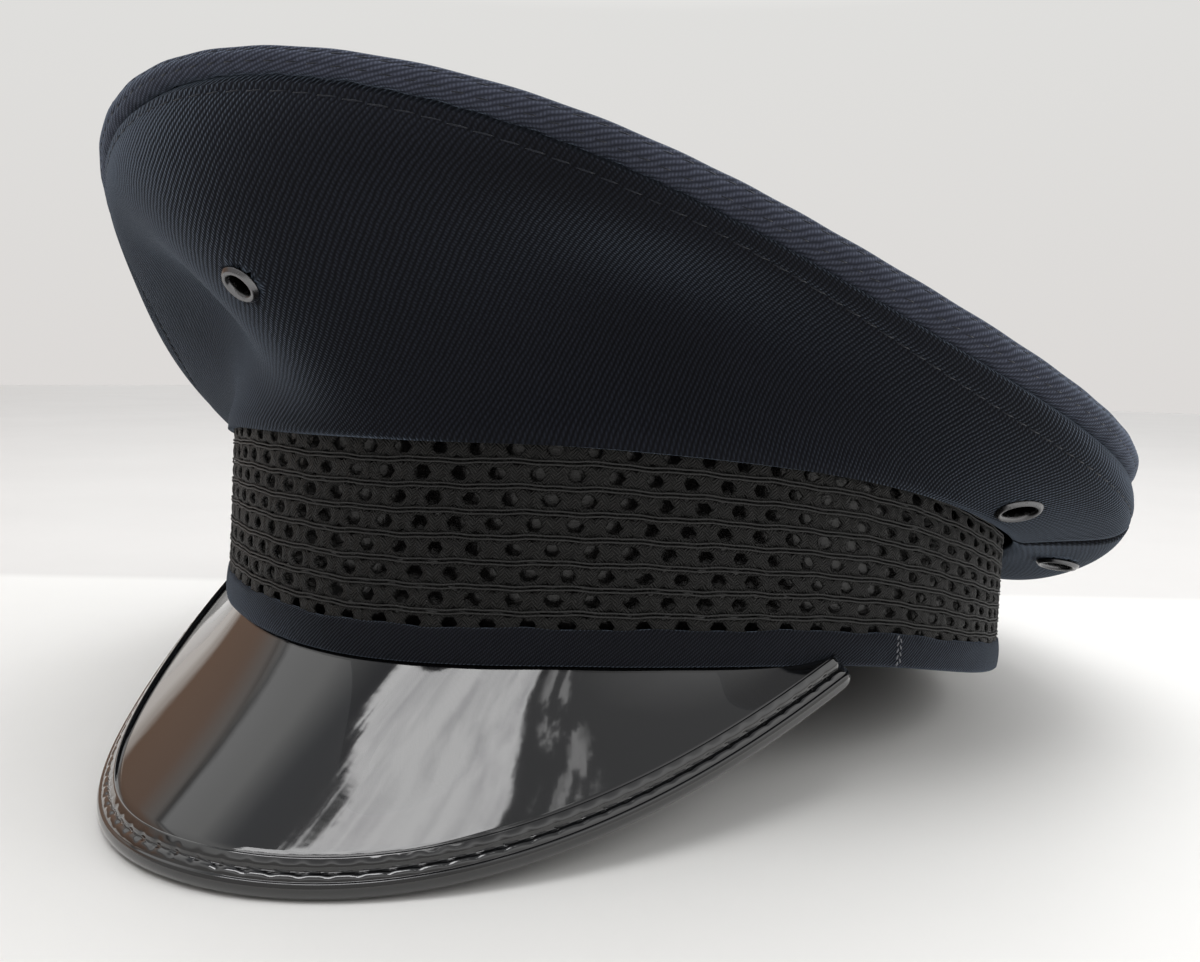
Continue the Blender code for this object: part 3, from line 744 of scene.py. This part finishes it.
# Height of a row line: rows are even from the hem down, and the lowest runs behind the strip
def caneLevel(angle, level):
    low = stripFoot(angle) + 4.6
    high = caneTop(angle)
    return low + (high - low) * level / caneSettings["rows"]


# One cell as rings from its outer box in to the six-sided hole, in cell units; z keeps how far in a ring is
def makeCaneCell():
    bm = bmesh.new()
    count = 12
    rings = [bmesh.ops.create_circle(bm, cap_ends=False, segments=count, radius=1.0)["verts"] for _ in range(4)]
    wide = caneSettings["holeWide"] / caneSettings["pitch"] / 2
    high = caneSettings["holeHigh"] / caneSettings["rowHeight"] / 2
    for share, verts in zip((0.0, 0.42, 0.84, 1.0), rings):
        for k, vert in enumerate(verts):
            turn = turnAll * k / count
            c, s = math.cos(turn), math.sin(turn)
            square = Vector((c, s)) * (0.5 / max(abs(c), abs(s)))
            nearest = math.radians(60) * round(turn / math.radians(60))
            fit = math.cos(math.radians(30)) / math.cos(math.radians(30) - abs(turn - nearest))
            hexagon = Vector((c * wide, s * high)) * fit * 1.08
            spot = square.lerp(hexagon, share)
            vert.co = (spot.x, spot.y, share)
    for inner, outer in zip(rings[1:], rings):
        pair = set(inner) | set(outer)
        edges = [edge for edge in bm.edges if edge.verts[0] in pair and edge.verts[1] in pair]
        bmesh.ops.bridge_loops(bm, edges=edges)
    return bm


def makeWovenBand():
    s = caneSettings
    pitch = bandRound / s["holes"]
    row = makeCaneCell()
    bmesh.ops.spin(row, geom=row.verts[:] + row.edges[:] + row.faces[:], cent=(0, 0, 0), axis=(0, 0, 1),
                   dvec=(1, 0, 0), angle=0.0, steps=s["holes"] - 1, use_duplicate=True)
    rowMesh = bpy.data.meshes.new("caneRow")
    row.to_mesh(rowMesh)
    row.free()
    bm = bmesh.new()
    layer = bm.loops.layers.uv.new("weave")
    vertsDone = facesDone = 0
    for row in range(s["rows"]):
        bm.from_mesh(rowMesh)
        bm.verts.ensure_lookup_table()
        bm.faces.ensure_lookup_table()
        shift = 0.5 * (row % 2) + 0.08 * math.sin(row * 2.3)
        wobble = [random.uniform(-0.03, 0.03) for _ in range(s["holes"] + 2)]
        grow = [random.uniform(0.88, 1.10) for _ in range(s["holes"] + 2)]
        flat = {}
        for vert in bm.verts[vertsDone:]:
            x, y, inward = vert.co
            if inward > 0.5:
                cell = round(x)
                x = cell + (x - cell) * grow[cell] + wobble[cell]
                y *= grow[cell + 1]
            distance = (x + shift) * pitch + s["phase"]
            angle = angleAtArc(distance)
            height = caneLevel(angle, s["rows"] - row - 0.5 + y)
            swell = s["bulge"] * (1 - (2 * y) ** 2) - 0.35 * smoothStep(0.8, 1.0, inward)
            swell += 0.10 * math.sin(distance * 2.9 + row)
            if abs(abs(y) - 0.5) < 0.01:
                swell = -0.05
            flat[vert] = Vector((distance, (row + 0.5 - y) * s["rowHeight"])) * mm
            vert.co = world(bandPoint(angle, height, swell - 0.3))
        for face in bm.faces[facesDone:]:
            for loop in face.loops:
                loop[layer].uv = flat[loop.vert]
        vertsDone, facesDone = len(bm.verts), len(bm.faces)
    bpy.data.meshes.remove(rowMesh)
    bmesh.ops.remove_doubles(bm, verts=bm.verts, dist=0.00004)
    faceOutward(bm, capMiddle)
    thicken(addPiece("wovenBand", bm, blackCane, ("mesh_band",)), s["wall"])


makeWovenBand()


# A closed thread: a grid rolled round a line that runs round the cap
def addThread(bm, line):
    s = caneSettings
    radius = s["threadRadius"]
    for vert in bmesh.ops.create_grid(bm, x_segments=s["threadSteps"], y_segments=s["threadSides"], size=0.5)["verts"]:
        angle = turnAll * (vert.co.x + 0.5)
        turn = turnAll * (vert.co.y + 0.5)
        out = radius * math.cos(turn) * bandOut(angle)
        vert.co = world(line(angle) + out + Vector((0.0, 0.0, radius * math.sin(turn))))


def rowThread(level, side):
    seed = level * 7.1 + side * 10

    def line(angle):
        sway = 0.12 * math.sin(angle * 37 + seed) + 0.07 * math.sin(angle * 91 + seed)
        return bandPoint(angle, caneLevel(angle, level) + side + sway, 0.10)

    return line


threadMesh = bmesh.new()
for level in range(1, caneSettings["rows"] + 1):
    for side in caneSettings["threadLines"]:
        addThread(threadMesh, rowThread(level, side))
bmesh.ops.remove_doubles(threadMesh, verts=threadMesh.verts, dist=0.000005)
bmesh.ops.recalc_face_normals(threadMesh, faces=threadMesh.faces)
addPiece("bandThreads", threadMesh, caneThread)
print("woven band ready")

stripSettings = {"height": 6.2, "proud": 0.4, "wall": 1.3, "steps": 480, "rows": 16,
                 "tackAngle": 65.0, "tackStitches": 9, "tackPitch": 0.62, "tackSize": (1.1, 0.34, 0.34)}


# The strip's face, folded in at its top and bottom edges
def stripPoint(u, v):
    angle = turnAll * u
    s = stripSettings
    t = -0.10 + 1.20 * v
    fold = max(-t, t - 1, 0.0) / 0.10
    rise = min(max(t, 0.0), 1.0)
    out = s["proud"] + 0.35 * math.sin(math.pi * rise) ** 0.6 - 0.9 * fold
    out += 0.12 * noise.noise(Vector((math.sin(angle) * 9, math.cos(angle) * 9, rise * 2)))
    edge = 0.16 * math.sin(angle * 23) * rise + 0.10 * math.sin(angle * 51 + 2) * rise
    height = stripFoot(angle) + s["height"] * rise + edge
    return bandPoint(angle, height, out)


def stripFlat(u, v):
    return Vector((u * bandRound * mm, v * 0.0075))


stripMesh = gridSurface(stripSettings["steps"], stripSettings["rows"], stripPoint, stripFlat, closed=True)
faceOutward(stripMesh, capMiddle)
stripPiece = addPiece("baseStrip", stripMesh, stripCloth, ("base_strip",))
thicken(stripPiece, stripSettings["wall"])

tackPlaces = []
tackAngle = math.radians(stripSettings["tackAngle"])
for k in range(stripSettings["tackStitches"]):
    height = stripFoot(tackAngle) + 0.8 + k * stripSettings["tackPitch"]
    angle = tackAngle + (0.004 if k % 2 else -0.004)
    spot = world(bandPoint(angle, height, 1.0))
    normal = (restTurn.to_3x3() @ bandOut(angle)).normalized()
    up = restTurn.to_3x3() @ Vector((0.0, 0.0, 1.0))
    along = (normal.cross(up) * (0.5 if k % 2 else -0.5) + up).normalized()
    tackPlaces.append((spot, along, normal))
stitchRow("stripBarTack", tackPlaces, stripSettings["tackSize"], paleThread)
print("base strip ready")

linerSettings = {"near": 3.95, "wall": 1.2, "rise": 1.6, "steps": 300, "rows": 20}


def linerPoint(u, v):
    angle = turnAll * u
    low = stripFoot(angle) + linerSettings["rise"]
    high = hemHeight(angle) + 3.0
    roll = 0.5 * math.exp(-(v / 0.05) ** 2)
    ripple = 0.10 * math.sin(angle * 17) * math.sin(math.pi * v)
    return bandPoint(angle, low + (high - low) * v, -linerSettings["near"] - roll + ripple)


linerMesh = gridSurface(linerSettings["steps"], linerSettings["rows"], linerPoint,
                        lambda u, v: Vector((u * 0.58, v * 0.035)), closed=True)
faceOutward(linerMesh, capMiddle)
linerPiece = addPiece("sweatbandLiner", linerMesh, linerMaterial, ("sweatband",))
thicken(linerPiece, linerSettings["wall"])
print("sweatband ready")

visorSettings = {
    "cornerAngle": 58.0, "reach": 30.9, "drop": 26.1, "cornerRise": 7.2, "bow": 1.79, "dish": 3.1,
    "endTurn": 85.0, "tuckTurn": 77.0, "tuck": 6.0,
    "apex": 115.0, "bulge": -0.02, "sheet": 1.5, "steps": 220, "rows": 40, "binding": 5.6, "bead": 1.85,
    "groove": 2.0, "stitchPitch": 4.05, "stitchSize": (2.9, 0.5, 0.42),
    "bindingRows": 54, "stepsPerStitch": 12,
}


@lru_cache(maxsize=None)
def visorLine(turn):
    s = visorSettings
    corner = bandPoint(math.radians(s["cornerAngle"]), 0.0)
    reach = s["reach"] + capShape["bandFront"] + corner.y
    across = math.sin(turn)
    point = Vector((corner.x * across, corner.y - reach * max(math.cos(turn), 0.0) ** s["bow"],
                    -s["drop"] + (s["drop"] + s["cornerRise"]) * abs(across) ** s["dish"]))
    inward = smoothStep(math.radians(s["tuckTurn"]), math.radians(s["endTurn"]), abs(turn)) * s["tuck"]
    # the ends go in behind the strip
    return point - bandOut(math.copysign(math.radians(s["cornerAngle"]), turn)) * inward


def visorRoot(turn, height):
    angle = turn / math.radians(90) * math.radians(visorSettings["cornerAngle"])
    return bandPoint(angle, stripFoot(angle) + height, -1.6)


@lru_cache(maxsize=None)
def visorAxes(turn):
    along = (visorLine(min(turn + 0.02, math.pi / 2)) - visorLine(max(turn - 0.02, -math.pi / 2))).normalized()
    corner = bandPoint(math.radians(visorSettings["cornerAngle"]), 0.0)
    away = visorLine(turn) - Vector((0.0, corner.y, visorSettings["apex"]))
    outward = (away - along * away.dot(along)).normalized()
    normal = along.cross(outward).normalized()
    if normal.z < 0:
        normal.negate()
    return along, outward, normal


def visorTurn(u):
    limit = math.radians(visorSettings["endTurn"])
    return -limit + 2 * limit * u


# The sheet from its root behind the strip out to the binding
def visorTop(u, v):
    turn = visorTurn(u)
    root = visorRoot(turn, 1.0)
    line = visorLine(turn)
    _, outward, normal = visorAxes(turn)
    span = (line - root).length
    if v <= 0.9:
        t = v / 0.9
        return root.lerp(line, t) + normal * visorSettings["bulge"] * span * math.sin(math.pi * t)
    return line + outward * (v - 0.9) / 0.1 * 2.2


def visorFlat(u, v):
    turn = visorTurn(u)
    return Vector((u * 0.2, v * (visorLine(turn) - visorRoot(turn, 1.0)).length * mm / 0.9))


visorMesh = gridSurface(visorSettings["steps"], visorSettings["rows"], visorTop, visorFlat)
faceOutward(visorMesh, Vector((0.0, -0.05, -0.10)))
visorPiece = addPiece("visorSheet", visorMesh, patentTop, ("visor",))
thicken(visorPiece, visorSettings["sheet"])


travelSteps = 400
visorTravel = runningLength([visorLine(visorTurn(k / travelSteps)) for k in range(travelSteps + 1)])
visorRound = visorTravel[-1]


def travelAt(u):
    place = u * (len(visorTravel) - 1)
    k = min(int(place), len(visorTravel) - 2)
    return visorTravel[k] + (visorTravel[k + 1] - visorTravel[k]) * (place - k)


stitchCount = round(visorRound / visorSettings["stitchPitch"])


# Across the binding's section: from its inner lip, over the top, round the bead and back below
def bindingOutline(t):
    s = visorSettings
    sheet, bead = s["sheet"], s["bead"]
    flat = s["binding"] - bead
    if t < 0.06:
        return Vector((0.0, -0.3 + 1.05 * t / 0.06))
    if t < 0.50:
        w = (t - 0.06) / 0.44
        return Vector((flat * w, 0.75 + 0.18 * math.sin(math.pi * w)))
    if t < 0.86:
        w = (t - 0.50) / 0.36
        turn = math.radians(92 - 184 * w)
        return Vector((flat + bead * math.cos(turn), -sheet / 2 + bead * math.sin(turn)))
    w = (t - 0.86) / 0.14
    return Vector((flat * (1 - w), -sheet - 0.75))


def bindingPoint(u, v):
    s = visorSettings
    turn = visorTurn(u)
    _, outward, normal = visorAxes(turn)
    spot = bindingOutline(v)
    cycle = travelAt(u) / visorRound * stitchCount * turnAll
    if 0.06 < v < 0.50:
        groove = math.exp(-((spot.x - s["groove"]) / 0.42) ** 2)
        pucker = math.exp(-((spot.x - s["groove"]) / 0.95) ** 2)
        spot.y -= 0.40 * groove + 0.20 * pucker * (0.5 + 0.5 * math.cos(cycle)) ** 3
        spot.y += 0.10 * math.exp(-((spot.x - s["groove"] - 1.3) / 0.5) ** 2)
    return visorLine(turn) + outward * spot.x + normal * spot.y


bindingMesh = gridSurface(stitchCount * visorSettings["stepsPerStitch"], visorSettings["bindingRows"], bindingPoint,
                          lambda u, v: Vector((u * 0.3, v * 0.02)))
bmesh.ops.holes_fill(bindingMesh, edges=[edge for edge in bindingMesh.edges if edge.is_boundary], sides=0)
bmesh.ops.recalc_face_normals(bindingMesh, faces=bindingMesh.faces)
addPiece("visorBinding", bindingMesh, patentBinding, ("visor_binding",))

bindPlaces = []
for n in range(stitchCount):
    goal = visorRound * (n + 0.5) / stitchCount
    k = max(j for j, value in enumerate(visorTravel) if value <= goal)
    u = k / (len(visorTravel) - 1)
    turn = visorTurn(u)
    along, outward, normal = visorAxes(turn)
    spot = visorLine(turn) + outward * visorSettings["groove"] + normal * 0.42
    matrix = restTurn.to_3x3()
    bindPlaces.append((world(spot), (matrix @ (along + outward * 0.12)).normalized(), (matrix @ normal).normalized()))
stitchRow("bindingStitches", bindPlaces, visorSettings["stitchSize"], glossThread, faces=2)
print("visor ready")


# A turned ring with a rolled top, a tube through the cloth and a washer inside
def makeEyelet(name, settings):
    radius, bore = settings["radius"], settings["bore"]
    angle = math.radians(settings["angle"])
    share = settings["share"]
    middle = (bore + 0.35 + radius) / 2
    outline = (
        (bore, -2.6), (bore, 0.2), (bore + 0.12, 0.62), (bore + 0.45, 0.92), (middle, 1.0), (radius - 0.5, 0.82),
        (radius - 0.1, 0.45), (radius, 0.12), (radius - 0.15, 0.0), (bore + 0.4, -0.05), (bore + 0.4, -2.0),
        (radius * 0.92, -2.0), (radius * 0.92, -2.35), (bore + 0.4, -2.6),
    )
    bm = bmesh.new()
    verts = [bm.verts.new((out * mm, 0.0, up * mm)) for out, up in outline]
    edges = [bm.edges.new((a, b)) for a, b in zip(verts, verts[1:] + verts[:1])]
    bmesh.ops.spin(bm, geom=verts + edges, cent=(0, 0, 0), axis=(0, 0, 1), angle=turnAll, steps=40, use_merge=True)
    bmesh.ops.remove_doubles(bm, verts=bm.verts, dist=0.000005)
    bmesh.ops.recalc_face_normals(bm, faces=bm.faces)
    normal = crownNormal(angle, share)
    turn = normal.to_track_quat("Z", "Y").to_matrix().to_4x4()
    sink = Matrix.Translation((0, 0, -0.05 * mm))
    bmesh.ops.transform(bm, verts=bm.verts, matrix=Matrix.Translation(world(crownPoint(angle, share))) @ turn @ sink)
    addPiece(name, bm, gunmetal, (settings["node"],))


for eyeletName, settings in eyeletSettings.items():
    makeEyelet(eyeletName, settings)
print("eyelets ready")

stageSettings = {
    "size": 3.0, "near": (0.775, 0.77, 0.755), "far": (0.655, 0.645, 0.635), "lineDistance": 0.378, "lineSoft": 0.009,
    "away": (-0.482, 0.876),
}


def makeTable(settings):
    made, tree, shader = newMaterial("paleTable", settings["near"], 0.5)
    cloud, place = objectNoise(tree, 7.0, 5.0, 0.6)
    split = tree.nodes.new("ShaderNodeSeparateXYZ")
    tree.links.new(place, split.inputs[0])
    start = settings["away"][0] * cameraSettings["place"][0] + settings["away"][1] * cameraSettings["place"][1]
    along = calc(tree, "MULTIPLY_ADD", split.outputs[0], settings["away"][0],
                 calc(tree, "MULTIPLY_ADD", split.outputs[1], settings["away"][1], -start))
    beyond = calc(tree, "SUBTRACT", along, settings["lineDistance"])
    past = calc(tree, "DIVIDE", beyond, settings["lineSoft"], clamp=True)
    tone = mixColour(tree, past, settings["near"], settings["far"])
    soft = ramp(tree, cloud, ((0.3, (0.955, 0.955, 0.955)), (0.7, (1.0, 1.0, 1.0))))
    tree.links.new(mixColour(tree, 1.0, tone, soft, "MULTIPLY"), shader.inputs["Base Color"])
    bm = bmesh.new()
    bmesh.ops.create_grid(bm, x_segments=2, y_segments=2, size=settings["size"])
    mesh = bpy.data.meshes.new("tableTop")
    bm.to_mesh(mesh)
    bm.free()
    mesh.materials.append(made)
    table = bpy.data.objects.new("tableTop", mesh)
    bpy.context.scene.collection.objects.link(table)


makeTable(stageSettings)

airSettings = {
    "wall": (0.72, 0.70, 0.685), "strength": 1.0, "ragged": 0.07,
    # left, right, front and rear edges of the ceiling light and of the scraps beside it, by direction
    "panel": (-0.43, 0.235, -0.46, -0.272), "panelGlow": 7.4,
    "scraps": (0.265, 0.41, -0.44, -0.18), "scrapGlow": 2.6,
}


def edgeMask(tree, value, low, high, soft):
    rise = calc(tree, "DIVIDE", calc(tree, "SUBTRACT", value, low), soft, clamp=True)
    fall = calc(tree, "DIVIDE", calc(tree, "SUBTRACT", high, value), soft, clamp=True)
    return calc(tree, "MULTIPLY", rise, fall)


def makeAir(settings):
    air = bpy.data.worlds.new("studioAir")
    air.use_nodes = True
    tree = air.node_tree
    back = tree.nodes["Background"]
    place = tree.nodes.new("ShaderNodeTexCoord")
    split = tree.nodes.new("ShaderNodeSeparateXYZ")
    tree.links.new(place.outputs["Generated"], split.inputs[0])
    rough = noiseAt(tree, place.outputs["Generated"], 16.0, 5.0, 0.62)
    shake = calc(tree, "MULTIPLY_ADD", rough, settings["ragged"] * 2, -settings["ragged"])
    x = calc(tree, "ADD", split.outputs[0], calc(tree, "MULTIPLY", shake, 0.55))
    y = calc(tree, "ADD", split.outputs[1], shake)
    z = split.outputs[2]
    # the room to the left and behind, from the table's level up to the ceiling
    room = ramp(tree, z, ((0.0, (0.78, 0.73, 0.69)), (0.09, (0.98, 0.92, 0.86)), (0.13, (0.30, 0.195, 0.14)),
                          (0.38, (0.50, 0.34, 0.26)), (0.51, (0.60, 0.56, 0.53)), (0.535, (0.14, 0.135, 0.13)),
                          (0.565, (0.95, 0.95, 0.95)), (0.74, (1.05, 1.05, 1.04)), (0.84, (0.42, 0.43, 0.45)),
                          (1.0, (0.34, 0.35, 0.37))))
    plain = ramp(tree, z, ((0.0, settings["wall"]), (0.30, (0.74, 0.735, 0.72)), (0.40, (1.15, 1.15, 1.14)),
                           (0.72, (1.25, 1.25, 1.25)), (0.84, (0.50, 0.50, 0.51)), (1.0, (0.36, 0.37, 0.38))))
    leftward = calc(tree, "DIVIDE", calc(tree, "SUBTRACT", -0.30, split.outputs[0]), 0.15, clamp=True)
    sideways = calc(tree, "DIVIDE", calc(tree, "SUBTRACT", 0.50, split.outputs[1]), 0.06, clamp=True)
    tone = mixColour(tree, calc(tree, "MULTIPLY", leftward, sideways), plain, room)
    high = calc(tree, "DIVIDE", calc(tree, "SUBTRACT", z, 0.6), 0.1, clamp=True)
    ahead = calc(tree, "DIVIDE", calc(tree, "SUBTRACT", -0.35, split.outputs[1]), 0.3, clamp=True)
    shade = calc(tree, "MULTIPLY", ahead, calc(tree, "SUBTRACT", 1.0, high, clamp=True))
    tone = mixColour(tree, shade, tone, (0.50, 0.49, 0.48))  # where the photographer stands
    left, right, front, rear = settings["panel"]
    panel = calc(tree, "MULTIPLY", edgeMask(tree, x, left, right, 0.012), edgeMask(tree, y, front, rear, 0.012))
    cloud = ramp(tree, rough, ((0.34, (0.72, 0.72, 0.73)), (0.56, (1.0, 1.0, 1.0))))
    glow = mixColour(tree, 1.0, cloud, (settings["panelGlow"],) * 3, "MULTIPLY")
    tone = mixColour(tree, calc(tree, "MULTIPLY", panel, high), tone, glow)
    left, right, front, rear = settings["scraps"]
    scraps = calc(tree, "MULTIPLY", edgeMask(tree, x, left, right, 0.03), edgeMask(tree, y, front, rear, 0.03))
    torn = calc(tree, "DIVIDE", calc(tree, "SUBTRACT", rough, 0.52), 0.05, clamp=True)
    scraps = calc(tree, "MULTIPLY", calc(tree, "MULTIPLY", scraps, torn), high)
    tone = mixColour(tree, scraps, tone, (settings["scrapGlow"],) * 3)
    tree.links.new(tone, back.inputs["Color"])
    back.inputs["Strength"].default_value = settings["strength"]
    bpy.context.scene.world = air


makeAir(airSettings)


def makeLight(name, place, target, size, power):
    lamp = bpy.data.lights.new(name, "AREA")
    lamp.shape = "RECTANGLE"
    lamp.size, lamp.size_y = size
    lamp.energy = power
    made = bpy.data.objects.new(name, lamp)
    bpy.context.scene.collection.objects.link(made)
    aim = Vector(target) - Vector(place)
    made.matrix_world = Matrix.Translation(place) @ aim.to_track_quat("-Z", "Y").to_matrix().to_4x4()
    made.visible_glossy = False  # the air's own light panel is what the gloss shows


makeLight("softAbove", (0.05, 0.05, 1.15), (0.0, 0.0, 0.05), (0.9, 0.9), 6.5)
makeLight("softRight", (0.9, 0.25, 0.50), (0.05, 0.0, 0.05), (0.6, 0.6), 2.6)
bpy.context.scene.view_settings.view_transform = "Standard"
bpy.context.scene.view_settings.exposure = 0.0
print("studio ready")
